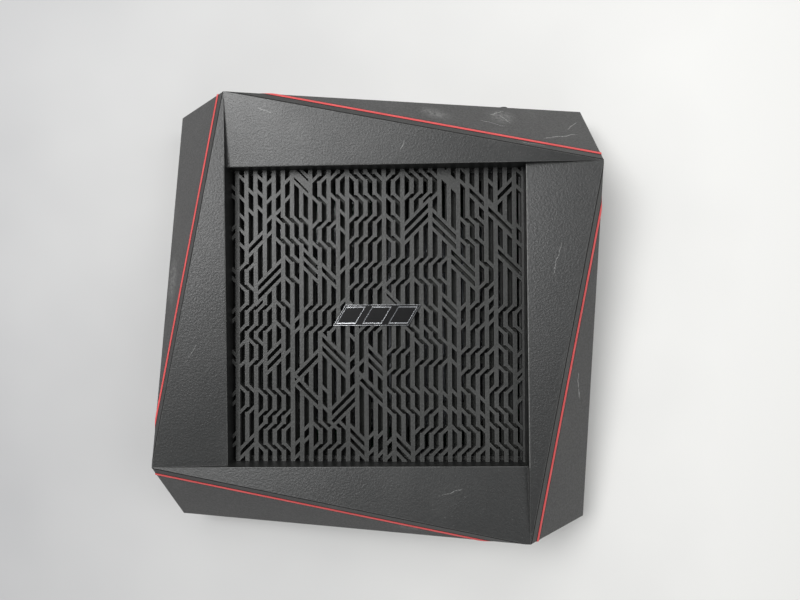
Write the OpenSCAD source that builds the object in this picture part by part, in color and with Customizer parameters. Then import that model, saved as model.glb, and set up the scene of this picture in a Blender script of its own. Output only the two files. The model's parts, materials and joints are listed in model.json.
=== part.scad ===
// Square wireless router with a twisted housing, four dished top panels, a trace-patterned
// vent grille, a red parting line, and eight antenna jacks. Millimetres, +Z up.
// Origin: middle of the footprint, on the plane that the rubber feet stand on.
// The rear, with the network sockets, faces +Y.

/* [Body] */
// Width and depth across the highest edges
span = 245; // [244.8:0.1:245.4]
// Overall height, feet included
body_h = 65; // [64:0.5:66]
// Width and depth of the lower case
case_w = 241.4; // [241:0.1:241.8]
// Side of the square opening that the grille sits in
opening_w = 164.6; // [164:0.1:165]
// Height where the upright wall ends and the slanted sides begin
shoulder_z = 25.2; // [25.2:0.1:26]
// Drop of each top panel's inner corner below its outer edge
dish = 5.3; // [4:0.1:6]
// Wall thickness of the mouldings
wall = 2.4; // [2:0.1:2.6]

/* [Trim] */
// Height of the lower face of the red trim
trim_z = 59.3; // [58.5:0.1:60]
// Thickness of the red trim
trim_t = 1.4; // [1:0.1:1.8]

/* [Grille] */
// Height of the top of the grille's ridges
ridge_z = 51.2; // [50.5:0.1:52]
// Height of the ridges
ridge_h = 6.4; // [5:0.1:6.4]
// Distance between neighbouring ridges
ridge_pitch = 5.2; // [5.1:0.05:5.2]
// Width of an upright ridge
ridge_w = 2.3; // [1.8:0.1:2.5]
// Width of a slanted ridge
slant_w = 1.6; // [1.4:0.1:2.2]
// Seed of the trace pattern
trace_seed = 7; // [1:1:12]

/* [Antenna jacks] */
// Height of the jacks' axes
jack_z = 14.6; // [14.6:0.1:14.8]
// Distance of a jack's axis from the middle of its side
jack_x = 98; // [97.8:0.1:98.2]
// Radius of the threaded barrel
jack_r = 3.175; // [3.1:0.005:3.2]
// Radius of the well that a jack stands in
well_r = 8.5; // [8:0.1:8.5]
// Depth of the well
well_d = 8; // [7.5:0.1:8]
// How far a jack's tip stands out from the wall
jack_proud = 2.4; // [2:0.1:2.6]

/* [Circuit board] */
// Width and depth of the board
board_w = 218; // [214:1:218]
// Height of the board's lower face
board_z = 8; // [7.8:0.1:8]
// Thickness of the board
board_t = 1.6; // [1.4:0.1:1.6]

/* [Network sockets] */
// Distance between neighbouring network sockets
port_pitch = 13.8; // [13.6:0.1:13.8]
// Depth of a network socket's body
port_d = 21.3; // [20:0.1:21.5]
// Height of a network socket's body
port_h = 13.5; // [13:0.1:13.6]
// Width of a plug opening
plug_w = 11.7; // [11.6:0.1:11.8]
// Height of a plug opening
plug_h = 7.2; // [7:0.1:7.4]

/* [Buttons] */
// Radius of the power button
power_r = 3.6; // [3.4:0.1:3.8]
// Travel of the power button
power_travel = 2; // [1.5:0.1:2.2]
// Travel of the small buttons
tact_travel = 0.8; // [0.5:0.1:0.9]

/* [Hidden] */
$fn = 48;
foot_h = 2; // how far the feet hold the case off the table
foot_r = 8;
foot_at = 92;
base_z = foot_h; // underside of the lower case
floor_t = 2.4;
reach = span / 2;
base = case_w / 2;
well_y = base - well_d; // floor of an antenna well
open = opening_w / 2;
top_z = body_h;
board_top = board_z + board_t;
trim_top = trim_z + trim_t;
trim_proud = 1.002;
ridge_low = ridge_z - ridge_h;
flange_t = 1.6;
flange_w = 89; // half width of the grille's mounting flange
grille_hole_r = 1.3;
screen_t = 1.4;
face_y = base - 0.4; // outer face of the port panel
panel_t = 1.8;
panel_x = [-85.6, 82.6]; // sides of the window in the rear wall
panel_z = [6.6, 24];
gang_n = 4;
gang_w = gang_n * port_pitch + 0.8;
lan_x = [-55.4, 1.4]; // middles of the two rows of local sockets
wan_x = 38.6;
wan_w = 16;
dc_x = 60.6;
dc_z = board_top + 5.6;
power_x = 75.6;
power_z = 18.4;
reset_x = 50.6;
reset_z = 14;
reset_r = 1.7; // hole in front of the reset button
usb_y = [-26, 4];
side_button_y = [-34, -10, 14];
side_button_z = 14;
side_button = [11, 4.4]; // width and height of a side button's face
light_n = 8;
light_pitch = 11;
light_slot = [5.2, 1.8];
light_z = board_top + 2;
sink = [150, 124, 3.6]; // base plate of the heatsink
sink_at = [0, -8, 14];
sink_hole_r = 1.6;
spreader_z = base_z + floor_t + 0.6;
spreader_t = 1.8;
fin_n = 25;
fin_h = 21;
fin_t = 1.5;
post_at = [[-96, -96], [96, -96], [-96, 70], [96, 70], [0, -98], [-18, 72]];
sink_screw_at = [for (x = [-1, 1], y = [-1, 1]) [sink_at.x + x * 69, sink_at.y + y * 56]];
case_screw_at = [for (x = [-1, 1], y = [-1, 1]) [x * 113.7, y * 60]];
grille_screw_at = [for (q = [0:3], s = [-1, 1]) quarter(q, [s * 42, open + 3.9])];
radio_at = [[-50, 24], [50, 24], [0, -48]];
cpu_at = [0, 4];
gap = 0.15; // moulding clearance on each side

// ---- plan geometry -------------------------------------------------------------------

// A plan point turned clockwise by q quarter turns: 0 rear, 1 right, 2 front, 3 left
function quarter(q, p) = q == 0 ? p : quarter(q - 1, [p.y, -p.x]);
function mix(a, b, t) = a + (b - a) * t;
function case_corner(q) = quarter(q % 4, [-base, base]);
function peak(q) = quarter(q % 4, [-open, reach]);
function inner_corner(q) = quarter(q % 4, [-open, open]);

// The twisted side is a square at the shoulder that turns into a rotated square at the top.
// Between the two, each level is an eight-sided outline.
function level(z) = max(0.002, (z - shoulder_z) / (top_z - shoulder_z));
function outline(z, k = 1) = [for (q = [0:3], side = [3, 4])
    k * mix(case_corner(q), peak(q + side), level(z))];

function raised(points, z) = [for (p = points) [p.x, p.y, z]];

// Solid between two outlines with the same number of points, listed clockwise
module loft(low, low_z, high, high_z) {
    n = len(low);
    polyhedron(
        points = concat(raised(low, low_z), raised(high, high_z)),
        faces = concat([[for (i = [n - 1:-1:0]) i]], [[for (i = [0:n - 1]) n + i]],
            [for (i = [0:n - 1]) [i, (i + 1) % n, n + (i + 1) % n, n + i]]));
}

// Slice of the twisted body between two heights, scaled by k about the middle
module twisted(z0, z1, k = 1) {
    loft(outline(z0, k), z0, outline(z1, k), z1);
}

module square_block(half, z0, z1) {
    translate([-half, -half, z0]) cube([2 * half, 2 * half, z1 - z0]);
}

// Height of a rear top panel over a plan point: level along its outer edge, low at its inner corner
function panel_z_at(p) = top_z - dish
    + dish * ((p.x + open) / (reach + open) + (p.y - open) / (reach - open));

// Column under one top panel, down to z0 and with its top lowered by drop
module panel_column(q, outline_points, z0, drop = 0) {
    rotate([0, 0, -90 * q])
        polyhedron(
            points = concat(raised(outline_points, z0),
                [for (p = outline_points) [p.x, p.y, panel_z_at(p) - drop]]),
            faces = let (n = len(outline_points)) concat(
                [[for (i = [n - 1:-1:0]) i]], [[for (i = [0:n - 1]) n + i]],
                [for (i = [0:n - 1]) [i, (i + 1) % n, n + (i + 1) % n, n + i]]));
}

module panel_columns(z0) {
    for (q = [0:3])
        panel_column(q, [peak(0), case_corner(1), peak(1), inner_corner(0)], z0);
}

// Moulding's hollow underside behind one top panel
module panel_cavity(q, z0) {
    slope = (reach - open) / (reach + open);
    rim = 4.2 * sqrt(1 + slope * slope);
    low = open + wall;
    left = -open + wall;
    right = (reach - rim - low) / slope - open;
    panel_column(q, [[left, reach - rim - slope * wall], [right, low], [left, low]], z0, wall);
}

// Places its children on side q: +Y points out of that side
module on_side(q) {
    rotate([0, 0, -90 * q]) children();
}

function light_x(i) = (i - (light_n - 1) / 2) * light_pitch;

// Cylinder along +Y
module rod(r, y0, y1, fn = 48) {
    translate([0, y0, 0]) rotate([-90, 0, 0]) cylinder(r = r, h = y1 - y0, $fn = fn);
}

module each_jack() {
    for (q = [0:3], s = [-1, 1]) on_side(q) translate([s * jack_x, 0, jack_z]) children();
}

module rounded_bar(w, h, y0, y1) {
    r = h / 2;
    for (s = [-1, 1]) translate([s * (w / 2 - r), 0, 0]) rod(r, y0, y1);
    translate([-(w / 2 - r), y0, -r]) cube([w - h, y1 - y0, h]);
}

// ---- case ----------------------------------------------------------------------------

module case_bosses() {
    for (p = case_screw_at) translate([p.x, p.y, base_z]) cylinder(r = 4, h = shoulder_z - base_z);
    for (p = post_at) translate([p.x, p.y, base_z]) cylinder(r = 3.4, h = board_z - base_z);
}

module floor_vents() {
    for (s = [-1, 1], i = [0:12], row = [0:2])
        translate([s * (24 + 4 * i) - 1, row * 34 - 62, base_z - 1]) cube([2, 26, floor_t + 2]);
}

module lower_case() {
    color([0.16, 0.16, 0.17]) difference() {
        union() {
            difference() {
                square_block(base, base_z, shoulder_z);
                square_block(base - wall, base_z + floor_t, shoulder_z + 1);
            }
            case_bosses();
            each_jack() rod(well_r + 1.8, well_y - 2, base - wall / 2);
        }
        each_jack() rod(well_r, well_y, base + 1);
        each_jack() rod(neck_r + 0.2, well_y - 3, base);
        for (s = [-1, 1], t = [-1, 1]) translate([s * foot_at, t * foot_at, base_z - 1])
            cylinder(r = foot_r + 0.2, h = 2);
        for (p = case_screw_at) translate([p.x, p.y, base_z - 1]) {
            cylinder(r = 1.8, h = 30);
            cylinder(r = 3.2, h = 4);
        }
        for (p = post_at) translate([p.x, p.y, base_z + 1.5]) cylinder(r = 1.25, h = 8);
        translate([panel_x[0], base - wall - 1, panel_z[0]])
            cube([panel_x[1] - panel_x[0], wall + 2, panel_z[1] - panel_z[0]]);
        for (y = usb_y) translate([-base - 1, y - 7.4, board_top + 0.2]) cube([wall + 2, 14.8, 7.2]);
        on_side(1) for (y = side_button_y) translate([-y, 0, side_button_z])
            rounded_bar(side_button[0] + 0.6, side_button[1] + 0.6, base - wall - 1, base + 1);
        on_side(2) for (i = [0:light_n - 1]) translate([light_x(i), 0, light_z])
            rounded_bar(light_slot.x, light_slot.y, base - wall - 1, base + 1);
        floor_vents();
    }
}

module side_housing() {
    inner = 1 - wall / base;
    color([0.14, 0.14, 0.15]) union() {
        difference() {
            twisted(shoulder_z, trim_z);
            loft(outline(shoulder_z, inner), shoulder_z - 1, outline(trim_z, inner), trim_z + 1);
        }
        for (p = case_screw_at) translate([p.x, p.y, shoulder_z]) difference() {
            union() {
                cylinder(r = 3.6, h = 12);
                translate([p.x > 0 ? 0 : -5, -1, 0]) cube([5, 2, 12]);
            }
            translate([0, 0, -1]) cylinder(r = 1.3, h = 11);
        }
    }
}

module red_trim() {
    color([0.85, 0.12, 0.12]) difference() {
        twisted(trim_z, trim_top, trim_proud);
        twisted(trim_z - 1, trim_top + 1, 0.955);
    }
}

module top_frame() {
    step_z = trim_z - 3.4;
    skirt_z = ridge_low + flange_t;
    color([0.2, 0.2, 0.21]) difference() {
        union() {
            intersection() {
                panel_columns(step_z - 6);
                union() {
                    twisted(trim_top, top_z);
                    twisted(step_z, trim_top, 0.953);
                }
            }
            intersection() {
                panel_columns(skirt_z);
                square_block(open + wall, skirt_z, top_z);
            }
            intersection() {
                panel_columns(skirt_z);
                for (p = grille_screw_at) translate([p.x, p.y, skirt_z]) cylinder(r = 2.8, h = 16);
            }
        }
        square_block(open, skirt_z - 1, top_z + 1);
        difference() {
            for (q = [0:3]) panel_cavity(q, step_z - 1);
            for (p = grille_screw_at) translate([p.x, p.y, skirt_z]) cylinder(r = 2.8, h = 16);
        }
        for (p = grille_screw_at) translate([p.x, p.y, skirt_z - 1]) cylinder(r = 0.95, h = 9);
    }
}

// ---- grille --------------------------------------------------------------------------

grille_half = open - gap;
column_n = 32;
first_column = grille_half - ridge_pitch * (column_n - 1);
row_n = 7;
row_h = 2 * grille_half / row_n;
draw_n = 64; // random draws set aside for each row
draws = rands(0, 1, draw_n * (row_n + 1), trace_seed);
half_slant = slant_w / sqrt(2);
slant_step = ridge_pitch; // height between slanted ridges that run side by side

function column_x(i) = first_column + ridge_pitch * i;
function draw(row, i) = draws[row * draw_n + i % draw_n];

// Splits a row into strips that are one to four columns wide: [first column, width, number]
strip_widths = [1, 3, 2, 4, 1, 2, 3, 2, 4, 1];
function strips(row, at = 0, k = 0) = at >= column_n - 1 ? [] :
    let (wish = strip_widths[floor(len(strip_widths) * draw(row, k))],
         w = min(wish, column_n - 1 - at))
    concat([[at, w, k]], strips(row, at + w, k + 1));

// Slanted ridge between columns a and b, rising to the right when up is 1; y is its middle
module slant(a, b, y, up, half = half_slant) {
    xa = column_x(a);
    xb = column_x(b);
    rise = up * (xb - xa) / 2;
    hull() {
        translate([xa, y - rise - half]) square([0.01, 2 * half]);
        translate([xb, y + rise - half]) square([0.01, 2 * half]);
    }
}

// Middle height, lean and number of parallel ridges of one strip's band
band_shift = [0.6, 0.24]; // how far slanted ridges and step-overs stray from their row, in row heights
leaning = [0.7, 0.35]; // share that rises to the right, in the left part and in the rest
function row_y(row) = -grille_half + row_h * (row + 0.5);
function band_y(row, s) = row_y(row)
    + (draw(row, s[2] + 20) - 0.5) * row_h * band_shift[steps(row, s) ? 1 : 0];
function lean(row, s, k) = draw(row, s[2] + k) < leaning[s[0] < column_n * 0.4 ? 0 : 1] ? 1 : -1;
function band_up(row, s) = lean(row, s, 31);
function band_n(row, s) = 2 + floor((s[1] == 1 ? 1.2 : 2) * draw(row, s[2] + 42));
function band_filled(row, s) = s[1] > 1 && !steps(row, s) && draw(row, s[2] + 9) < 0.18;
// True where each upright of the strip steps over by one column, instead of meeting long slanted ridges
function steps(row, s) = s[1] > 3 || (s[1] > 1 && draw(row, s[2] + 14) < 0.5);
// The two step-overs of such a strip: [height, lean]
function step_overs(row, s) = [for (k = [-1, 1]) [band_y(row, s) + k * row_h / 4, lean(row, s, 31 + 8 * k)]];

module upright(i) {
    translate([column_x(i) - ridge_w / 2, -grille_half]) square([ridge_w, 2 * grille_half]);
}

// Opens the uprights of a strip where they step over
module step_gaps(row, s) {
    gap_h = ridge_pitch - 2 * half_slant;
    for (over = step_overs(row, s), i = [s[0] + 1:s[0] + s[1] - 1])
        translate([column_x(i) - ridge_w / 2, over[0] - gap_h / 2]) square([ridge_w, gap_h]);
}

// Opens the slanted slots of one band through the upright ridges between its end columns
module band_slots(row, s) {
    n = band_n(row, s);
    if (steps(row, s)) step_gaps(row, s);
    else if (s[1] > 1) difference() {
        slant(s[0], s[0] + s[1], band_y(row, s), band_up(row, s), (n - 1) * slant_step / 2);
        for (e = [s[0], s[0] + s[1]]) upright(e);
    }
}

module band_ridges(row, s) {
    n = band_n(row, s);
    up = band_up(row, s);
    spread = s[1] == 1 ? slant_step * (1.2 + draw(row, s[2] + 3)) : slant_step;
    if (steps(row, s)) for (over = step_overs(row, s), i = [s[0]:s[0] + s[1] - 1])
        slant(i, i + 1, over[0], over[1]);
    else for (j = [0:n - 1])
        slant(s[0], s[0] + s[1], band_y(row, s) + (j - (n - 1) / 2) * spread, up);
    if (band_filled(row, s))
        slant(s[0], s[0] + s[1], band_y(row, s), up, spread / 2);
}

module trace_pattern() {
    intersection() {
        square(2 * grille_half, center = true);
        union() {
            difference() {
                for (i = [0:column_n - 1]) upright(i);
                for (row = [0:row_n - 1], s = strips(row)) band_slots(row, s);
            }
            for (row = [0:row_n - 1], s = strips(row)) band_ridges(row, s);
            for (row = [0:row_n - 1], j = [-1, 1])
                slant(-1, 0, row_y(row) + j * ridge_pitch / 2, draw(row_n, row) < 0.6 ? 1 : -1);
        }
    }
}

module grille() {
    color([0.3, 0.31, 0.31]) union() {
        translate([0, 0, ridge_low]) linear_extrude(ridge_h) trace_pattern();
        difference() {
            square_block(flange_w, ridge_low, ridge_low + flange_t);
            square_block(grille_half - 2, ridge_low - 1, ridge_low + flange_t + 1);
            for (p = grille_screw_at) translate([p.x, p.y, ridge_low - 1])
                cylinder(r = grille_hole_r, h = flange_t + 2, $fn = 16);
        }
    }
}

module vent_screen() {
    slot_w = 1.4;
    slot_l = 22;
    slot_step = slot_l + 4;
    screen_low = ridge_low - screen_t;
    color([0.05, 0.05, 0.05]) difference() {
        square_block(flange_w, screen_low, ridge_low);
        for (i = [0:2:column_n - 2], row = [-3:2])
            translate([column_x(i + 0.5) - slot_w / 2, (row + 0.5) * slot_step - slot_l / 2, screen_low - 1])
                cube([slot_w, slot_l, screen_t + 2]);
        for (p = grille_screw_at) translate([p.x, p.y, screen_low - 1])
            cylinder(r = grille_hole_r, h = screen_t + 2);
    }
}

module lozenge(w, h, lean) {
    polygon([[-w / 2, -h / 2], [w / 2 - lean, -h / 2], [w / 2, h / 2], [-w / 2 + lean, h / 2]]);
}

// Plain plate with three slanted insets, on top of the ridges
module badge() {
    badge_w = 49;
    badge_h = 11.6;
    badge_t = 1.6;
    lean = 0.6;
    inset_h = badge_h - 2.6;
    inset_w = 15.8;
    inset_z = 0.7;
    inset_step = 14.6;
    color([0.75, 0.76, 0.78]) translate([0, 0, ridge_z]) difference() {
        linear_extrude(badge_t) lozenge(badge_w, badge_h, badge_h * lean);
        for (i = [-1:1]) translate([i * inset_step, 0, inset_z])
            linear_extrude(badge_t) lozenge(inset_w, inset_h, inset_h * lean);
    }
}

// ---- rear panel and sockets ------------------------------------------------------------

module port_panel() {
    color([0.1, 0.1, 0.11]) difference() {
        union() {
            translate([panel_x[0] + gap, base - wall, panel_z[0] + gap])
                cube([panel_x[1] - panel_x[0] - 2 * gap, wall - 0.4, panel_z[1] - panel_z[0] - 2 * gap]);
            translate([panel_x[0] - 1.4, base - wall - panel_t, board_top])
                cube([panel_x[1] - panel_x[0] + 2.8, panel_t, shoulder_z - board_top]);
        }
        for (x = lan_x) translate([x - gang_w / 2 - gap, base - 20, board_top - gap])
            cube([gang_w + 2 * gap, 30, port_h + 2 * gap]);
        translate([wan_x - wan_w / 2 - gap, base - 20, board_top - gap])
            cube([wan_w + 2 * gap, 30, port_h + 2 * gap]);
        translate([dc_x, 0, dc_z]) rod(4.9, base - 20, base + 10);
        translate([power_x, 0, power_z]) rod(power_r + 0.3, base - 20, base + 10);
        translate([reset_x, 0, reset_z]) rod(reset_r, base - 20, base + 10);
    }
}

// Plug opening with its latch notch, on the middle of a socket's width
module plug_opening() {
    depth = 15;
    steps = [[plug_w, plug_h, 4.2], [6.4, 3, 2.2], [3.8, 2, 1.2]]; // width, height, height above the board
    for (s = steps) translate([-s[0] / 2, face_y - depth, board_top + s[2]]) cube([s[0], depth + 1, s[1]]);
}

module socket_row(x, n, w) {
    color([0.72, 0.72, 0.74]) difference() {
        translate([x - w / 2, face_y - port_d, board_top]) cube([w, port_d, port_h]);
        for (i = [0:n - 1]) translate([x + (i - (n - 1) / 2) * port_pitch, 0, 0]) plug_opening();
    }
}

module lan_sockets_a() { socket_row(lan_x[0], gang_n, gang_w); }
module lan_sockets_b() { socket_row(lan_x[1], gang_n, gang_w); }
module wan_socket() { socket_row(wan_x, 1, wan_w); }

module usb_socket(y) {
    shell = [17, 14.4, 6.8];
    sheet = 0.6;
    tongue = [shell.x - 1.4, 11.2, 1.7];
    tongue_z = 3.7;
    color([0.75, 0.75, 0.77]) translate([-face_y, y, board_top + 0.4]) union() {
        difference() {
            translate([0, -shell.y / 2, 0]) cube(shell);
            translate([-1, -shell.y / 2 + sheet, sheet])
                cube([shell.x - 1, shell.y - 2 * sheet, shell.z - 2 * sheet]);
        }
        translate([shell.x - tongue.x, -tongue.y / 2, tongue_z]) cube(tongue);
    }
}

module usb_socket_a() { usb_socket(usb_y[0]); }
module usb_socket_b() { usb_socket(usb_y[1]); }

module dc_socket() {
    color([0.08, 0.08, 0.08]) translate([dc_x, 0, dc_z]) union() {
        difference() {
            union() {
                translate([-4.6, face_y - 14.4, board_top - dc_z]) cube([9.2, 10, 10.8]);
                rod(4.6, face_y - 10, face_y);
            }
            rod(2.8, face_y - 10, face_y + 1);
        }
        rod(1, face_y - 11, face_y - 1);
    }
}

// ---- antenna jacks ---------------------------------------------------------------------

nut_y = well_y + 0.6;
nut_t = 2.4;
nut_r = 4.6;
washer_r = 4.9;
neck_r = jack_r - 0.35; // the barrel under the nut
lug_y = well_y - 6.2; // where the coax leaves the jack

module antenna_jack() {
    tip_y = base + jack_proud;
    mouth_r = 2.3;
    mouth_d = 6;
    contact_r = 0.6;
    hex_r = 4.5;
    lug_r = 1.6;
    color([0.8, 0.66, 0.34]) union() {
        difference() {
            union() {
                rod(neck_r, well_y - 2, nut_y + nut_t);
                rod(jack_r, nut_y + nut_t, tip_y);
            }
            rod(mouth_r, tip_y - mouth_d, tip_y + 1);
        }
        rod(contact_r, tip_y - mouth_d - 1, tip_y - 1);
        rod(hex_r, well_y - 4, well_y - 2, 6);
        rod(lug_r, lug_y, well_y - 3);
    }
}

module jack_number(i) {
    k = i - 1;
    on_side(floor(k / 2)) translate([(k % 2 == 0 ? -1 : 1) * jack_x, 0, jack_z]) antenna_jack();
}

module jack_washers() {
    color([0.7, 0.7, 0.72]) each_jack() difference() {
        rod(washer_r, well_y, nut_y);
        rod(neck_r, well_y - 1, nut_y + 1);
    }
}

module jack_nuts() {
    color([0.8, 0.66, 0.34]) each_jack() difference() {
        rod(nut_r, nut_y, nut_y + nut_t, 6);
        rod(neck_r, nut_y - 1, nut_y + nut_t + 1);
    }
}

// Thin coax from the back of a jack to its plug on the board
module coax_leads() {
    coax_r = 0.7;
    bend = 2.2;
    turn_y = lug_y - 4;
    plug_r = 1.5;
    plug_h = 1.8;
    plug_z = board_top + plug_h - 0.2 - jack_z;
    color([0.35, 0.35, 0.36]) each_jack() union() {
        rod(coax_r, turn_y, lug_y);
        translate([0, turn_y, -bend]) rotate([0, -90, 0]) rotate_extrude(angle = -90)
            translate([bend, 0]) circle(r = coax_r, $fn = 24);
        translate([0, turn_y - bend, plug_z]) cylinder(r = coax_r, h = -bend - plug_z);
        translate([0, turn_y - bend, board_top - jack_z]) cylinder(r = plug_r, h = plug_h);
    }
}

// ---- buttons ---------------------------------------------------------------------------

stem_r = 1.1;
collar_y = base - 6.2; // inner face of a small button's collar
stem_tip_y = base - 11.5;
power_stem = 3; // width of the power button's square stem
power_tip_y = base - 15;
slack = 0.3; // clearance around a stem in its switch

module power_button() {
    collar_y0 = base - 7;
    cap_y = base + 4.2;
    color([0.07, 0.07, 0.07]) translate([power_x, 0, power_z]) union() {
        rod(power_r, collar_y0, cap_y);
        rod(power_r - 0.7, cap_y - 0.2, cap_y + 0.9);
        rod(power_r + 0.9, collar_y0, collar_y0 + 2);
        translate([-power_stem / 2, power_tip_y, -power_stem / 2])
            cube([power_stem, collar_y0 + 1 - power_tip_y, power_stem]);
    }
}

module power_switch() {
    switch_size = [8.8, 14, 12.6];
    switch_y = base - 24;
    hole = power_stem + 2 * slack;
    hole_y = power_tip_y - power_travel - 1;
    color([0.85, 0.85, 0.85]) difference() {
        translate([power_x - switch_size.x / 2, switch_y, board_top]) cube(switch_size);
        translate([power_x - hole / 2, hole_y, power_z - hole / 2]) cube([hole, switch_size.y, hole]);
    }
}

// Button face, collar behind the wall, and stem into the switch; +Y points out
module small_button(face, collar) {
    union() {
        rounded_bar(face[0], face[1], base - 4, face[2]);
        rounded_bar(face[0] + collar, face[1] + collar, collar_y, collar_y + 1.2);
        rounded_bar(face[0] * 0.8, face[1] * 0.8, collar_y + 0.7, base - 3.5);
        rod(stem_r, stem_tip_y, collar_y + 0.2);
    }
}

module tact_switch(z) {
    side = 6.2;
    depth = 5;
    difference() {
        translate([-side / 2, base - 15, board_top - z]) cube([side, depth, z - board_top + side / 2]);
        rod(stem_r + slack, stem_tip_y - tact_travel - 1, stem_tip_y + 2.5);
    }
}

module reset_button() {
    color([0.07, 0.07, 0.07]) translate([reset_x, 0, reset_z]) union() {
        rod(reset_r - 0.35, collar_y + 0.8, face_y - 0.8);
        rod(2.6, collar_y, collar_y + 1.2);
        rod(stem_r, stem_tip_y, collar_y + 0.2);
    }
}

module reset_switch() {
    color([0.2, 0.2, 0.22]) translate([reset_x, 0, reset_z]) tact_switch(reset_z);
}

module side_button_at(i) {
    color([0.08, 0.08, 0.08]) on_side(1) translate([-side_button_y[i], 0, side_button_z])
        small_button([side_button[0], side_button[1], base + 0.7], 1.8);
}

module wps_button() { side_button_at(0); }
module wifi_button() { side_button_at(1); }
module led_button() { side_button_at(2); }

module side_switches() {
    color([0.2, 0.2, 0.22]) on_side(1) for (y = side_button_y)
        translate([-y, 0, side_button_z]) tact_switch(side_button_z);
}

module light_guide() {
    bar = (light_n - 1) * light_pitch + 8;
    color([0.9, 0.9, 0.92]) on_side(2) translate([0, 0, light_z]) union() {
        translate([-bar / 2, base - wall - 3.4, -1.8]) cube([bar, 3, 3.6]);
        for (i = [0:light_n - 1]) translate([light_x(i), 0, 0])
            rounded_bar(light_slot.x - 0.3, light_slot.y - 0.3, base - wall - 1, base);
    }
}

module status_leds() {
    led = [3.2, 2.4, 1.8];
    led_y = base - 14.4;
    color([0.95, 0.95, 0.85]) on_side(2) for (i = [0:light_n - 1])
        translate([light_x(i) - led.x / 2, led_y, board_top]) cube(led);
}

// ---- circuit board -----------------------------------------------------------------------

module main_board() {
    color([0.05, 0.25, 0.12]) difference() {
        translate([-board_w / 2, -board_w / 2, board_z]) cube([board_w, board_w, board_t]);
        for (p = post_at) translate([p.x, p.y, board_z - 1]) cylinder(r = 1.7, h = 4);
        for (p = sink_screw_at) translate([p.x, p.y, board_z - 1]) cylinder(r = 1.7, h = 4);
    }
}

module screw(z_seat, z_tip, head_r, head_h, shank_r) {
    dir = z_tip > z_seat ? -1 : 1;
    translate([0, 0, min(z_seat, z_tip)]) cylinder(r = shank_r, h = abs(z_tip - z_seat));
    translate([0, 0, dir > 0 ? z_seat : z_seat - head_h]) difference() {
        cylinder(r = head_r, h = head_h);
        translate([0, 0, dir > 0 ? head_h - 1 : -1]) for (a = [0, 90]) rotate([0, 0, a])
            translate([-head_r * 0.6, -0.3, 0]) cube([head_r * 1.2, 0.6, 2]);
    }
}

module board_screws() {
    color([0.7, 0.7, 0.72]) for (p = post_at) translate([p.x, p.y, 0])
        screw(board_top, board_z - 4, 2.8, 1.8, 1.2);
}

module case_screws() {
    color([0.1, 0.1, 0.1]) for (p = case_screw_at) translate([p.x, p.y, 0])
        screw(base_z + 3, shoulder_z + 8, 3, 2.2, 1.25);
}

module grille_screws() {
    color([0.1, 0.1, 0.1]) for (p = grille_screw_at) translate([p.x, p.y, 0])
        screw(ridge_low - screen_t, ridge_low + flange_t + 6, 2.2, 1.6, 0.9);
}

module heatsink() {
    fin_step = (sink.x - fin_t) / (fin_n - 1);
    fin_margin = 12; // bare strip of the base plate in front of and behind the fins
    fin_l = sink.y - 2 * fin_margin;
    color([0.75, 0.76, 0.78]) difference() {
        translate(sink_at) union() {
            translate([-sink.x / 2, -sink.y / 2, 0]) cube(sink);
            for (i = [0:fin_n - 1])
                translate([(i - (fin_n - 1) / 2) * fin_step - fin_t / 2, -fin_l / 2, sink.z - 0.5])
                    cube([fin_t, fin_l, fin_h]);
        }
        for (p = sink_screw_at) translate([p.x, p.y, sink_at.z - 1])
            cylinder(r = sink_hole_r, h = sink.z + 2);
    }
}

module heatsink_screws() {
    color([0.7, 0.7, 0.72]) for (p = sink_screw_at) translate([p.x, p.y, 0])
        screw(sink_at.z + sink.z, base_z + floor_t + 1, 2.6, 1.8, 1.25);
}

module heat_spreader() {
    spreader = [sink.x, sink.y, spreader_t];
    color([0.72, 0.73, 0.75]) difference() {
        translate([sink_at.x - sink.x / 2, sink_at.y - sink.y / 2, spreader_z]) cube(spreader);
        for (p = sink_screw_at) translate([p.x, p.y, base_z]) cylinder(r = 1.3, h = 8);
    }
}

module spreader_pad() {
    pad_z = spreader_z + spreader_t;
    pad = [110, 90, board_z - pad_z];
    color([0.5, 0.6, 0.7]) translate([-pad.x / 2, -pad.y / 2 - 10, pad_z]) cube(pad);
}

chip_h = 1.6;
can_h = 3;

// Block on the board with its middle at a plan point
module on_board(p, size) {
    translate([p.x - size.x / 2, p.y - size.y / 2, board_top]) cube(size);
}

module chip(p, size) {
    color([0.1, 0.1, 0.1]) on_board(p, [size.x, size.y, chip_h]);
}

module shield_can(p, size) {
    sheet = 0.4;
    inside = [size.x - 2 * sheet, size.y - 2 * sheet, can_h + 1 - sheet];
    color([0.78, 0.78, 0.8]) difference() {
        on_board(p, [size.x, size.y, can_h]);
        translate([0, 0, -1]) on_board(p, inside);
    }
}

module cpu_chip() { chip(cpu_at, [22, 22]); }
module cpu_shield() { shield_can(cpu_at, [46, 44]); }
module radio_chip(i) { chip(radio_at[i - 1], [13, 13]); }
module radio_shield(i) { shield_can(radio_at[i - 1], [38, 34]); }
module flash_chip() { chip([-40, -40], [12, 18]); }
module switch_chip() { chip([10, 68], [16, 16]); }

// Soft pads that carry heat from the shields to the heatsink
module cpu_pad() {
    pad = [28, 28, sink_at.z - board_top - can_h];
    color([0.5, 0.6, 0.7]) for (p = concat([cpu_at], radio_at))
        translate([0, 0, can_h]) on_board(p, pad);
}

module memory_chips() {
    beside = 17;
    for (s = [-1, 1]) chip([cpu_at.x + s * beside, cpu_at.y], [8, 12]);
}

module line_transformers() {
    first = [-76, 86];
    step = 28;
    color([0.08, 0.08, 0.08]) for (i = [0:4]) on_board([first.x + i * step, first.y], [16, 12, 5.6]);
}

// Plan points of a block of four parts, two by two
function four_from(p, step) = [for (x = [0, 1], y = [0, 1]) [p.x + x * step, p.y + y * step]];

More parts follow.
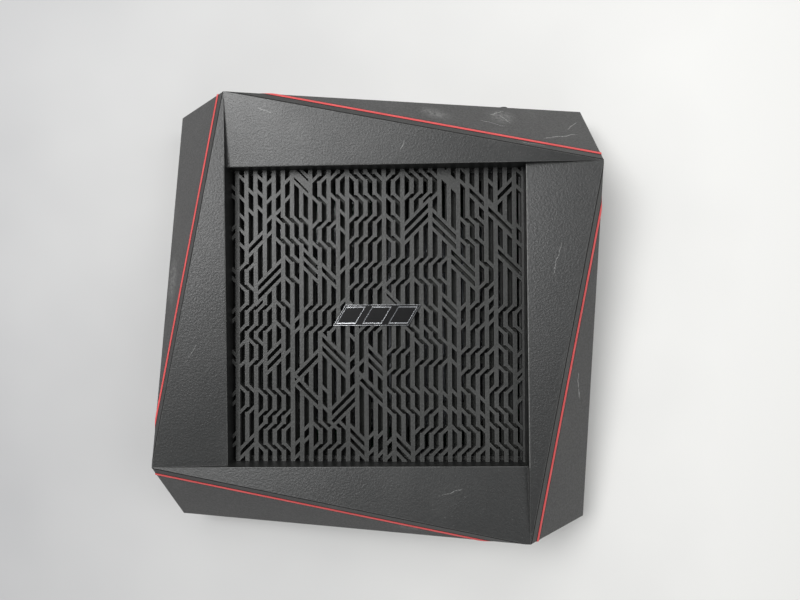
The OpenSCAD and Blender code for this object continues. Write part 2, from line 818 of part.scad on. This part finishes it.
module capacitors() {
    can = [4, 12.5]; // radius and height
    color([0.2, 0.2, 0.24]) for (p = four_from([58, 66], 9.5))
        translate([p.x, p.y, board_top]) cylinder(r = can[0], h = can[1]);
}

module inductors() {
    color([0.25, 0.25, 0.25]) for (p = four_from([84, 24], 8.8)) on_board(p, [7, 7, 4]);
}

// ---- underside ---------------------------------------------------------------------------

module rubber_feet() {
    color([0.12, 0.12, 0.12]) for (s = [-1, 1], t = [-1, 1])
        translate([s * foot_at, t * foot_at, 0]) cylinder(r = foot_r, h = foot_h + 1);
}

module rating_label() {
    film = [70, 38, 0.2];
    film_y = 44;
    color([0.6, 0.6, 0.6]) translate([-film.x / 2, film_y, base_z - film.z]) cube(film);
}

lower_case();
side_housing();
red_trim();
top_frame();
grille();
vent_screen();
badge();
port_panel();
rating_label();
rubber_feet();
case_screws();
grille_screws();
jack_washers();
jack_nuts();
coax_leads();
power_button();
reset_button();
wps_button();
wifi_button();
led_button();
power_switch();
reset_switch();
side_switches();
light_guide();
status_leds();
main_board();
board_screws();
heatsink();
heatsink_screws();
heat_spreader();
spreader_pad();
cpu_chip();
cpu_shield();
cpu_pad();
memory_chips();
flash_chip();
switch_chip();
line_transformers();
lan_sockets_a();
lan_sockets_b();
wan_socket();
usb_socket_a();
usb_socket_b();
dc_socket();
capacitors();
inductors();
for (i = [1:3]) radio_chip(i);
for (i = [1:3]) radio_shield(i);
for (i = [1:8]) jack_number(i);
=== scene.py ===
import json
import math

import bpy
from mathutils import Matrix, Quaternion, Vector


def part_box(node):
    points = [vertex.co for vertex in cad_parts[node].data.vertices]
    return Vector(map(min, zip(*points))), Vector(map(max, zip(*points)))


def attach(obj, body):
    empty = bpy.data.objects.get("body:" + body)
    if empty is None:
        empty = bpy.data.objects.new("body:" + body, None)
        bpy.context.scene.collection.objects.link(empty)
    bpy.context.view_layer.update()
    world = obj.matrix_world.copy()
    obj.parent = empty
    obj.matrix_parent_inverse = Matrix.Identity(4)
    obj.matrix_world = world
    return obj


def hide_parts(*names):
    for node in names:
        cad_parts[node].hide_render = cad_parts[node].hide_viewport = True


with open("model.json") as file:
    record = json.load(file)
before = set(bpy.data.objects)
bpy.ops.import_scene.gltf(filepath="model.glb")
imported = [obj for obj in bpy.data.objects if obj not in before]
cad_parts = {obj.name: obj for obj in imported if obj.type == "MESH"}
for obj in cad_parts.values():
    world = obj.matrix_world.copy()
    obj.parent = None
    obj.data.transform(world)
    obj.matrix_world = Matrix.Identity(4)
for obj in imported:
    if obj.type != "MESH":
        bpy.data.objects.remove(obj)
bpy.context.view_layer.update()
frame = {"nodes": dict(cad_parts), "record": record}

MM = 0.001  # one millimetre, in metres


# ---- node helpers ---------------------------------------------------------------------

class Nodes:
    """Small builder for a material's node tree, in object coordinates."""

    def __init__(self, name):
        self.material = bpy.data.materials.new(name)
        self.material.use_nodes = True
        self.tree = self.material.node_tree
        self.shader = self.tree.nodes["Principled BSDF"]
        self.place = self.tree.nodes.new("ShaderNodeTexCoord").outputs["Object"]

    def link(self, source, target):
        self.tree.links.new(source, target)

    def new(self, kind, **settings):
        node = self.tree.nodes.new(kind)
        for key, value in settings.items():
            setattr(node, key, value)
        return node

    def stretched(self, factors):
        """Object coordinates scaled along each axis."""
        node = self.new("ShaderNodeMapping")
        node.inputs["Scale"].default_value = factors
        self.link(self.place, node.inputs["Vector"])
        return node.outputs["Vector"]

    def noise(self, scale, detail=3.0, vector=None, roughness=0.55):
        node = self.new("ShaderNodeTexNoise")
        node.inputs["Scale"].default_value = scale
        node.inputs["Detail"].default_value = detail
        node.inputs["Roughness"].default_value = roughness
        self.link(vector or self.place, node.inputs["Vector"])
        return node.outputs["Fac"]

    def cells(self, scale, vector):
        """Distance to the nearest of scattered points."""
        node = self.new("ShaderNodeTexVoronoi")
        node.inputs["Scale"].default_value = scale
        self.link(vector, node.inputs["Vector"])
        return node.outputs["Distance"]

    def ramp(self, value, low, high, start=0.0, end=1.0):
        """start where value is low, end where it is high, and even in between."""
        node = self.new("ShaderNodeMapRange")
        for name, number in zip(("From Min", "From Max", "To Min", "To Max"), (low, high, start, end)):
            node.inputs[name].default_value = number
        self.link(value, node.inputs["Value"])
        return node.outputs["Result"]

    def math(self, operation, *values):
        node = self.new("ShaderNodeMath", operation=operation)
        for socket, value in zip(node.inputs, values):
            if isinstance(value, float):
                socket.default_value = value
            else:
                self.link(value, socket)
        return node.outputs["Value"]

    def times(self, first, second):
        return self.math("MULTIPLY", first, second)

    def mixed(self, factor, first, second):
        """Colour between first and second; each is a colour or a node's output."""
        node = self.new("ShaderNodeMix", data_type="RGBA")
        sockets = [s for s in node.inputs if s.enabled]
        for socket, value in zip(sockets, (factor, first, second)):
            if isinstance(value, tuple):
                socket.default_value = (*value, 1.0)
            else:
                self.link(value, socket)
        return [s for s in node.outputs if s.enabled][0]

    def bump(self, height, distance, strength, below=None):
        node = self.new("ShaderNodeBump")
        node.inputs["Distance"].default_value = distance
        node.inputs["Strength"].default_value = strength
        self.link(height, node.inputs["Height"])
        if below:
            self.link(below, node.inputs["Normal"])
        return node.outputs["Normal"]

    def around(self, centre, size, turn):
        """Coordinates that are 0 at a mark's centre and 1 at its ends; centre and size in millimetres."""
        node = self.new("ShaderNodeMapping", vector_type="TEXTURE")
        node.inputs["Location"].default_value = [c * MM for c in centre]
        node.inputs["Rotation"].default_value = (0.0, 0.0, math.radians(turn))
        node.inputs["Scale"].default_value = [half * MM for half in size]
        self.link(self.place, node.inputs["Vector"])
        return node.outputs["Vector"]

    def smudge(self, centre, size, turn):
        """Patch of dry dust that thins out towards its rim."""
        reach_down = 40.0
        length = self.new("ShaderNodeVectorMath", operation="LENGTH")
        self.link(self.around(centre, (*size, reach_down), turn), length.inputs[0])
        fade = self.ramp(length.outputs["Value"], 1.0, 0.1)
        dust = self.ramp(self.noise(420.0, 5.0, roughness=0.8), 0.4, 0.7)
        return self.times(fade, dust)

    def scratch(self, centre, size, turn):
        """Thin broken line that wanders a little to each side."""
        wander = 0.6
        reach_down = 1000.0
        split = self.new("ShaderNodeSeparateXYZ")
        self.link(self.around(centre, (*size, reach_down), turn), split.inputs[0])
        drift = self.times(self.ramp(self.noise(170.0, 4.0), 0.3, 0.7, -1.0, 1.0), wander / size[1])
        across = self.math("ABSOLUTE", self.math("ADD", split.outputs["Y"], drift))
        along = self.ramp(self.math("ABSOLUTE", split.outputs["X"]), 1.0, 0.8)
        broken = self.ramp(self.noise(900.0, 3.0), 0.36, 0.5)
        return self.times(self.times(self.ramp(across, 1.0, 0.5), along), broken)

    def most(self, masks):
        """The strongest of several masks."""
        strongest = masks[0]
        for mask in masks[1:]:
            strongest = self.math("MAXIMUM", strongest, mask)
        return strongest

    def edge_mask(self, radius):
        """1 on sharp edges, 0 on faces."""
        bevel = self.new("ShaderNodeBevel", samples=4)
        bevel.inputs["Radius"].default_value = radius
        plain = self.new("ShaderNodeNewGeometry")
        dot = self.new("ShaderNodeVectorMath", operation="DOT_PRODUCT")
        self.link(bevel.outputs["Normal"], dot.inputs[0])
        self.link(plain.outputs["Normal"], dot.inputs[1])
        return self.ramp(dot.outputs["Value"], 0.995, 0.9)

    def finished(self, colour, roughness, normal=None, metallic=0.0, specular=0.5, coat=0.0):
        """The material, once its colour, roughness and normal are joined to the shader."""
        self.link(colour, self.shader.inputs["Base Color"])
        if normal:
            self.link(normal, self.shader.inputs["Normal"])
        if isinstance(roughness, float):
            self.shader.inputs["Roughness"].default_value = roughness
        else:
            self.link(roughness, self.shader.inputs["Roughness"])
        self.shader.inputs["Metallic"].default_value = metallic
        self.shader.inputs["Specular IOR Level"].default_value = specular
        self.shader.inputs["Coat Weight"].default_value = coat
        self.shader.inputs["Coat Roughness"].default_value = 0.1
        return self.material


def shade(colour, factor):
    """colour made darker, or lighter where factor is over 1."""
    return tuple(c * factor for c in colour)


# ---- materials ------------------------------------------------------------------------

def moulded_plastic(name, colour, pale_wear_and_highlight, roughness, grain=2600.0, dust=0.0, edge=0.0, specular=0.45,
                    wear=None):
    """Spark-eroded moulding: mottled grain, slow colour drift, light dust, pale edges that are partly wear
    and partly a painted highlight, and marks of wear.
    grain is its scale; dust and edge are how strongly the pale colour shows there, on edges partly as a
    painted highlight; wear makes the marks."""
    n = Nodes(name)
    drift = n.noise(14.0, 4.0)
    body = n.mixed(n.ramp(drift, 0.35, 0.7), colour, shade(colour, 1.16))
    mottle = n.ramp(n.noise(grain * 0.36, 3.0), 0.38, 0.62)
    body = n.mixed(n.times(mottle, 0.5), body, shade(colour, 0.35))
    speck = n.ramp(n.noise(grain * 0.5, 1.0), 0.68, 0.8)
    body = n.mixed(n.times(speck, 0.2), body, pale_wear_and_highlight)
    if dust:
        cloud = n.ramp(n.noise(26.0, 6.0, roughness=0.7), 0.52, 0.8)
        body = n.mixed(n.times(cloud, dust), body, pale_wear_and_highlight)
    if wear:
        body = n.mixed(n.most(wear(n)), body, pale_wear_and_highlight)
    # painted highlight: edges are lightened partly as wear and partly to stand in for light catching the
    # rounded edges
    if edge:
        patches = n.ramp(n.noise(120.0, 4.0), 0.3, 0.5, 0.35, 1.0)
        body = n.mixed(n.times(n.times(n.edge_mask(0.4 * MM), patches), edge), body, pale_wear_and_highlight)
    rough = n.ramp(drift, 0.3, 0.75, roughness - 0.04, roughness + 0.05)
    leather = n.bump(mottle, 0.06 * MM, 0.6)
    return n.finished(body, rough, n.bump(n.noise(grain, 2.0), 0.04 * MM, 0.5, leather), specular=specular)


# Marks of wear, each (centre, half size, turn in degrees), in millimetres
SIDE_SMUDGES = [((33, 113, 50), (11, 5), -18), ((71, 113, 43), (10, 7), -8),
                ((-117, 20, 48), (5, 16), 0), ((20, -115, 45), (14, 4), 0)]
SIDE_SCRATCHES = [((69, 116, 42), (5, 0.3), 22), ((73, 111, 43), (4.5, 0.28), -52),
                  ((66, 107, 50), (8, 0.2), -17), ((103, 99, 52), (11, 0.28), 12),
                  ((112, 108, 42), (5, 0.2), 38), ((-110, -60, 45), (7, 0.25), 80),
                  ((60, -113, 48), (9, 0.22), 8), ((112, -40, 48), (8, 0.22), 96)]
PANEL_SMUDGES = [((-42, 100, 63), (7, 12), 10), ((104, -30, 62), (7, 14), 0),
                 ((-30, -105, 62), (16, 6), 0)]
PANEL_SCRATCHES = [((15, 92, 63), (3, 0.3), 70), ((86, 92, 64), (7, 0.22), -12),
                   ((-101, -20, 62), (6, 0.2), 60), ((98, 30, 62), (9, 0.2), 74),
                   ((40, -96, 62), (7, 0.2), 15), ((-60, 112, 63), (4, 0.25), -20)]


def side_wear(n):
    """Handling marks on the slanted sides: dust near the power button and scratches towards the corner."""
    soft = [n.times(n.smudge(*mark), 0.8) for mark in SIDE_SMUDGES]
    return soft + [n.scratch(*mark) for mark in SIDE_SCRATCHES]


def panel_wear(n):
    """Faint scuffs on the top panels."""
    soft = [n.times(n.smudge(*mark), 0.1) for mark in PANEL_SMUDGES]
    return soft + [n.times(n.scratch(*mark), 0.5) for mark in PANEL_SCRATCHES]


def glossy_plastic(name, colour, roughness, specular=0.5):
    """Smooth moulding with uneven gloss."""
    n = Nodes(name)
    body = n.mixed(n.ramp(n.noise(60.0, 3.0), 0.3, 0.7), colour, shade(colour, 0.86))
    rough = n.ramp(n.noise(180.0, 4.0), 0.3, 0.7, roughness - 0.06, roughness + 0.08)
    return n.finished(body, rough, n.bump(n.noise(900.0, 2.0), 0.02 * MM, 0.3), specular=specular)


def metal(name, colour, roughness, brush=(1.0, 30.0, 30.0), strength=0.4, tarnish=0.15):
    """Metal with a brushed or drawn finish along X, and slightly darker stains."""
    n = Nodes(name)
    streaks = n.noise(60.0, 3.0, n.stretched(brush))
    stains = n.ramp(n.noise(45.0, 4.0), 0.45, 0.75)
    body = n.mixed(n.times(stains, tarnish), colour, shade(colour, 0.55))
    rough = n.ramp(streaks, 0.3, 0.7, roughness - 0.07, roughness + 0.1)
    return n.finished(body, rough, n.bump(streaks, 0.03 * MM, strength), metallic=1.0)


def rubber(name, colour):
    """Matt mottled rubber."""
    n = Nodes(name)
    body = n.mixed(n.noise(300.0, 3.0), colour, shade(colour, 1.5))
    return n.finished(body, 0.85, n.bump(n.noise(1500.0, 2.0), 0.06 * MM, 0.6), specular=0.3)


def circuit_board(name):
    """Green mask over copper: traces and pads show as a slightly lighter relief."""
    n = Nodes(name)
    flat = n.stretched((1.0, 1.0, 0.0))
    traces = n.times(n.ramp(n.cells(170.0, flat), 0.3, 0.5), n.ramp(n.cells(600.0, flat), 0.12, 0.2))
    body = n.mixed(traces, (0.012, 0.075, 0.035), (0.03, 0.16, 0.075))
    return n.finished(body, n.ramp(traces, 0.0, 1.0, 0.35, 0.25), n.bump(traces, 0.03 * MM, 0.6), coat=0.3)


def clear_plastic(name, colour):
    """Cloudy plastic that lets some light through."""
    n = Nodes(name)
    cloud = n.noise(200.0, 3.0)
    n.shader.inputs["Transmission Weight"].default_value = 0.35
    return n.finished(n.mixed(cloud, colour, shade(colour, 1.1)), 0.4, n.bump(cloud, 0.02 * MM, 0.3))


# painted highlight: this pale colour also lightens edges where light catches them
PALE = (0.33, 0.33, 0.32)  # bare or dusty plastic
EVEN = (1.0, 1.0, 1.0)  # brush of a metal that isn't brushed
MATERIALS = {
    "case_plastic": moulded_plastic("case plastic", (0.078, 0.077, 0.076), PALE, 0.55, dust=0.08,
                                    edge=0.35, wear=side_wear),
    "panel_plastic": moulded_plastic("panel plastic", (0.0165, 0.0172, 0.0165), PALE, 0.42, dust=0.05,
                                     edge=0.3, specular=0.75, wear=panel_wear),
    # painted highlight: pale finish for the right panel's lip, which catches the light
    "rubbed_edge": moulded_plastic("rubbed edge", (0.16, 0.16, 0.155), PALE, 0.4, dust=0.3),
    "red_plastic": glossy_plastic("red plastic", (0.78, 0.095, 0.095), 0.4),
    "grille_plastic": moulded_plastic("grille plastic", (0.052, 0.053, 0.051), PALE, 0.42, dust=0.06,
                                      edge=0.25),
    "screen_plastic": moulded_plastic("screen plastic", (0.04, 0.042, 0.038), PALE, 0.6),
    "badge_chrome": metal("badge chrome", (0.78, 0.79, 0.81), 0.22, brush=EVEN, strength=0.1, tarnish=0.05),
    "label_film": moulded_plastic("label film", (0.3, 0.3, 0.31), (0.5, 0.5, 0.5), 0.4, grain=900.0),
    "foot_rubber": rubber("foot rubber", (0.01, 0.01, 0.01)),
    "screw_steel": metal("screw steel", (0.42, 0.42, 0.44), 0.35),
    "jack_brass": metal("jack brass", (0.78, 0.56, 0.24), 0.25, brush=EVEN),
    "coax_jacket": glossy_plastic("coax jacket", (0.05, 0.05, 0.052), 0.4),
    "button_plastic": glossy_plastic("button plastic", (0.004, 0.004, 0.0045), 0.4, 0.2),
    "switch_plastic": moulded_plastic("switch plastic", (0.018, 0.018, 0.019), PALE, 0.5),
    "clear_plastic": clear_plastic("clear plastic", (0.75, 0.78, 0.8)),
    "led_package": clear_plastic("led package", (0.85, 0.85, 0.7)),
    "circuit_board": circuit_board("circuit board"),
    "heatsink_aluminium": metal("heatsink aluminium", (0.62, 0.63, 0.65), 0.35),
    "thermal_pad": rubber("thermal pad", (0.2, 0.27, 0.36)),
    "chip_plastic": moulded_plastic("chip plastic", (0.012, 0.012, 0.013), PALE, 0.6, grain=3500.0),
    "capacitor_can": metal("capacitor can", (0.25, 0.25, 0.32), 0.35),
    "shield_steel": metal("shield steel", (0.6, 0.6, 0.62), 0.28, strength=0.25),
}

# How far a node's edges are rounded, in millimetres
SOFT_EDGES = {"top_frame": 0.35, "side_housing": 0.3, "grille": 0.16, "lower_case": 0.3, "port_panel": 0.15,
              "power_button": 0.35, "wps_button": 0.3, "wifi_button": 0.3, "led_button": 0.3,
              "rubber_feet": 0.8, "heatsink": 0.12, "badge": 0.3}


def soften(piece, width, over=30):
    """Rounds the edges of a piece where they turn by more than over degrees."""
    bevel = piece.modifiers.new("soft edges", "BEVEL")
    bevel.width = width * MM
    bevel.segments = 2
    bevel.limit_method = "ANGLE"
    bevel.angle_limit = math.radians(over)


def dress_frame():
    """Every CAD node gets its slot's finish, and some get softened edges."""
    slots = {s["node"]: s["material_slot"] for s in frame["record"]["subparts"]}
    for name, node in frame["nodes"].items():
        node.data.materials.clear()
        node.data.materials.append(MATERIALS[slots[name]])
        if name in SOFT_EDGES:
            soften(node, SOFT_EDGES[name], over=25)


# ---- places in the frame, in millimetres ----------------------------------------------

X, Y, Z = range(3)


def span(node, axis):
    """Lowest and highest coordinate of a CAD node along an axis."""
    return [round(corner[axis] / MM, 3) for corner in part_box(node)]


def middle(node, axis):
    """Middle of a CAD node along an axis."""
    return round(sum(span(node, axis)) / 2, 3)


CASE = span("lower_case", X)[1]  # half width of the lower case
SHOULDER = span("lower_case", Z)[1]
REACH = span("top_frame", X)[1]  # half width across the highest edges
TOP = span("top_frame", Z)[1]
OPENING = 82.3  # half width of the opening that the grille sits in
DISH = 5.3  # drop of each top panel's inner corner
TRIM_LOW, TRIM_HIGH = span("red_trim", Z)
BADGE_TOP = span("badge", Z)[1]
JACK_X = middle("antenna_jack_2", X)
JACK_Z = middle("antenna_jack_2", Z)


# ---- shapes, as points and faces ------------------------------------------------------

def quarter(q, p):
    """A plan point turned clockwise by q quarter turns."""
    for _ in range(q % 4):
        p = (p[1], -p[0])
    return p


def outline(z, out):
    """The housing's eight-sided outline at height z, moved outwards by out."""
    t = (z - SHOULDER) / (TOP - SHOULDER)
    k = 1 + out / CASE
    points = []
    for q in range(4):
        corner = quarter(q, (-CASE, CASE))
        for side in (3, 4):
            peak = quarter(q + side, (-OPENING, REACH))
            points.append([k * (a + (b - a) * t) for a, b in zip(corner, peak)] + [z])
    return points


def tube(rings, closed):
    """Band through rings that have the same number of points; if closed, the last ring joins the first."""
    count = len(rings[0])
    faces = []
    for j in range(len(rings) if closed else len(rings) - 1):
        here = j * count
        ahead = (j + 1) % len(rings) * count
        for i in range(count):
            beside = (i + 1) % count
            faces.append((here + i, here + beside, ahead + beside, ahead + i))
    return [point for ring in rings for point in ring], faces


def around_case(section):
    """Band around the housing, from a section of (distance out from the wall, height)."""
    return tube([outline(z, out) for out, z in reversed(section)], closed=True)


def joined(parts):
    """Several shapes as one."""
    points, faces = [], []
    for part_points, part_faces in parts:
        faces += [tuple(i + len(points) for i in face) for face in part_faces]
        points += part_points
    return points, faces


def lozenge(width, height, at=0.0):
    """Plan outline that leans to the right like the badge, with its middle at x = at."""
    lean = 0.6 * height
    left = at - width / 2
    right = at + width / 2
    up = height / 2
    return [(left, -up), (right - lean, -up), (right, up), (left + lean, up)]


def plate(outlines, low, high):
    """Flat plates from plan outlines; an outline inside another is a hole in it."""
    curve = bpy.data.curves.new("plate", "CURVE")
    curve.dimensions = "2D"
    curve.fill_mode = "BOTH"
    curve.extrude = (high - low) / 2 * MM
    for corners in outlines:
        spline = curve.splines.new("POLY")
        spline.points.add(len(corners) - 1)
        for point, (x, y) in zip(spline.points, corners):
            point.co = (x * MM, y * MM, 0.0, 1.0)
        spline.use_cyclic_u = True
    flat = bpy.data.objects.new("plate", curve)
    bpy.context.scene.collection.objects.link(flat)
    mesh = flat.to_mesh()
    points = [(v.co.x / MM, v.co.y / MM, v.co.z / MM + (low + high) / 2) for v in mesh.vertices]
    faces = [tuple(face.vertices) for face in mesh.polygons]
    flat.to_mesh_clear()
    bpy.data.objects.remove(flat)
    return points, faces


def jack_ring(x, y, radius, side):
    """Circle about the axis of a jack, at distance y from the middle, on one side of the case."""
    corners = 24
    turns = [2 * math.pi * i / corners for i in range(corners)]
    return [(*quarter(side, (x + radius * math.cos(a), y)), JACK_Z + radius * math.sin(a)) for a in turns]


def wire(x, inner, outer):
    """Flat contact wire between its inner end and the end near the socket's mouth, each (y, z)."""
    half_width = 0.25
    thick = 0.3
    points = [(x + side * half_width, y, z + up) for side in (-1, 1) for y, z in (inner, outer)
              for up in (0.0, thick)]
    return points, [(0, 1, 3, 2), (4, 6, 7, 5), (0, 4, 5, 1), (2, 3, 7, 6), (0, 2, 6, 4), (1, 5, 7, 3)]


# ---- added pieces ---------------------------------------------------------------------

def new_piece(name, points, faces, slot, finish=None):
    """A piece of the housing, from points in the row frame; finish stands in for the slot's own finish."""
    mesh = bpy.data.meshes.new(name)
    mesh.from_pydata([[c * MM for c in point] for point in points], [], faces)
    mesh.update()
    piece = bpy.data.objects.new(name, mesh)
    bpy.context.scene.collection.objects.link(piece)
    piece.data.materials.append(MATERIALS[finish or slot])
    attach(piece, "housing")
    return piece


def make_red_line():
    """Rounded red trim, fuller than the flat one that it stands for."""
    half = [(-1.2, 0.0), (0.1, 0.0), (0.32, 0.2), (0.44, 0.55)]  # out from the wall, in from the edge
    section = [(out, TRIM_LOW + rise) for out, rise in half]
    section += [(out, TRIM_HIGH - rise) for out, rise in reversed(half)]
    red = new_piece("red_line", *around_case(section), "red_plastic")
    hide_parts("red_trim")


def make_painted_shade_seams():
    """Dark strips of painted shade on both sides of the red line and under the panels' outer edges, where
    the seams lie in shadow.
    """
    buried = -0.5
    proud = 0.06
    crown = 0.09
    # painted shade: near-black strips in the foot rubber finish stand in for the shadow in these seams
    for name, low, high in (("painted_shade_below_line", TRIM_LOW - 0.5, TRIM_LOW),
                            ("painted_shade_above_line", TRIM_HIGH, TRIM_HIGH + 0.4),
                            ("painted_shade_at_edge", TOP - 0.85, TOP - 0.2)):
        section = [(buried, low), (proud, low), (crown, (low + high) / 2), (proud, high), (buried, high)]
        new_piece(name, *around_case(section), "foot_rubber")


def make_lips():
    """Fine bead along the inner edge of each dished panel, which rises with the panel.
    The right one carries a painted highlight, a pale finish where it faces the light."""
    radius = 0.3
    behind = 0.15  # from the panel's edge to the middle of the bead
    low_end = (-OPENING + 0.4, TOP - DISH)  # along the edge, and height
    high_end = (OPENING - 0.2, TOP - DISH * (REACH - OPENING) / (REACH + OPENING))
    turns = [math.pi * i / 4 for i in range(8)]
    for q, side in enumerate(("rear", "right", "front", "left")):
        rings = [[(*quarter(q, (x, OPENING + behind + radius * math.cos(a))), z + radius * math.sin(a))
                  for a in turns] for x, z in (low_end, high_end)]
        # painted highlight: only the lip that faces the light gets the pale finish
        finish = "rubbed_edge" if side == "right" else None
        new_piece("panel_lip_" + side, *tube(rings, closed=False), "panel_plastic", finish)


def make_badge():
    """Dark inlays that leave bright outlines on the plain plate: one around its insets, a core in each."""
    inset_middles = [-14.6, 0.0, 14.6]
    around = [lozenge(48.3, 11.1)] + [lozenge(16.5, 9.6, x) for x in inset_middles]
    new_piece("badge_inlay", *plate(around, BADGE_TOP - 0.2, BADGE_TOP + 0.06), "button_plastic")
    inside = [lozenge(14.7, 8.3, x) for x in inset_middles]
    cores = new_piece("badge_cores", *plate(inside, BADGE_TOP - 1.0, BADGE_TOP - 0.3), "button_plastic")
    soften(cores, 0.12)


def make_threads():
    """Threads around the barrels of the eight antenna jacks."""
    pitch = 0.78
    turns = 8
    start = CASE - 4.4
    root = 3.1
    crest = 3.34
    threads = []
    for side in range(4):
        for x in (-JACK_X, JACK_X):
            rings = []
            for i in range(turns):
                rings += [jack_ring(x, start + i * pitch, root, side),
                          jack_ring(x, start + (i + 0.5) * pitch, crest, side)]
            rings.append(jack_ring(x, start + turns * pitch, root, side))
            threads.append(tube(rings, closed=False))
    new_piece("jack_threads", *joined(threads), "jack_brass")


def make_contacts():
    """Eight contact wires in each of the nine network sockets."""
    socket_pitch = 13.8
    wire_pitch = 1.02
    board_top = span("main_board", Z)[1]
    inner = (109.0, board_top + 7.6)
    outer = (118.0, board_top + 10.6)
    rows = [middle(node, X) for node in ("lan_sockets_a", "lan_sockets_b")]
    sockets = [x + (i - 1.5) * socket_pitch for x in rows for i in range(4)]
    sockets.append(middle("wan_socket", X))
    wires = [wire(x + (k - 3.5) * wire_pitch, inner, outer) for x in sockets for k in range(8)]
    new_piece("socket_contacts", *joined(wires), "jack_brass")


# ---- stage ----------------------------------------------------------------------------

def make_floor():
    """Pale floor with painted shade: darker towards the left."""
    half = 3.0  # metres
    mesh = bpy.data.meshes.new("floor")
    corners = [(-half, -half, 0), (half, -half, 0), (half, half, 0), (-half, half, 0)]
    mesh.from_pydata(corners, [], [(0, 1, 2, 3)])
    floor = bpy.data.objects.new("floor", mesh)
    bpy.context.scene.collection.objects.link(floor)
    n = Nodes("floor")
    across = n.new("ShaderNodeSeparateXYZ")
    n.link(n.place, across.inputs[0])
    # painted shade: the floor's colour darkens towards the left to stand in for the light falling off there
    cloud = n.times(n.noise(5.0, 3.0), 0.25)
    painted_shade_ramp = n.ramp(n.math("ADD", across.outputs["X"], cloud), -0.2, 0.35)
    colour = n.mixed(painted_shade_ramp, (0.49, 0.49, 0.495), (0.92, 0.915, 0.89))
    mesh.materials.append(n.finished(colour, 0.75, specular=0.3))


def make_light(name, place, size, power):
    """Round soft light that shines at the middle of the router."""
    aim = Vector((0, 0, 0.03))
    data = bpy.data.lights.new(name, "AREA")
    data.shape = "DISK"
    data.size = size
    data.energy = power
    light = bpy.data.objects.new(name, data)
    light.location = place
    light.rotation_mode = "QUATERNION"
    light.rotation_quaternion = (aim - Vector(place)).to_track_quat("-Z", "Y")
    bpy.context.scene.collection.objects.link(light)


def make_lights():
    """Windows high on the left, pale walls to the right, behind and in front, and a dim room."""
    bpy.context.scene.view_settings.view_transform = "Standard"
    make_light("window", (-0.8, 0.3, 1.5), 0.8, 6.0)
    make_light("window_near", (-0.38, 0.28, 1.0), 0.5, 5.9)
    make_light("wall_right", (1.3, 0.2, 1.4), 1.5, 10.0)
    make_light("wall_back", (0.0, 1.2, 1.2), 1.0, 5.2)
    make_light("wall_front", (0.1, -1.4, 1.1), 1.2, 3.0)
    world = bpy.data.worlds.new("room")
    world.use_nodes = True
    world.node_tree.nodes["Background"].inputs["Color"].default_value = (0.92, 0.96, 1.0, 1.0)
    world.node_tree.nodes["Background"].inputs["Strength"].default_value = 0.15
    bpy.context.scene.world = world


def make_camera():
    """Straight down from above the middle, a little to the right and leaning back to the left."""
    data = bpy.data.cameras.new("camera")
    data.sensor_width = 36.0
    data.lens = 27.0
    camera = bpy.data.objects.new("camera", data)
    camera.location = (0.0242, 0.0063, 0.3877)
    lean = Vector((0.35, 1.92, -0.31))  # turn about X, Y and Z, in degrees
    camera.rotation_mode = "QUATERNION"
    camera.rotation_quaternion = Quaternion(lean.normalized(), math.radians(lean.length))
    bpy.context.scene.collection.objects.link(camera)
    bpy.context.scene.camera = camera


make_camera()
make_lights()
make_floor()
dress_frame()
make_red_line()
make_painted_shade_seams()
make_lips()
make_badge()
make_threads()
make_contacts()
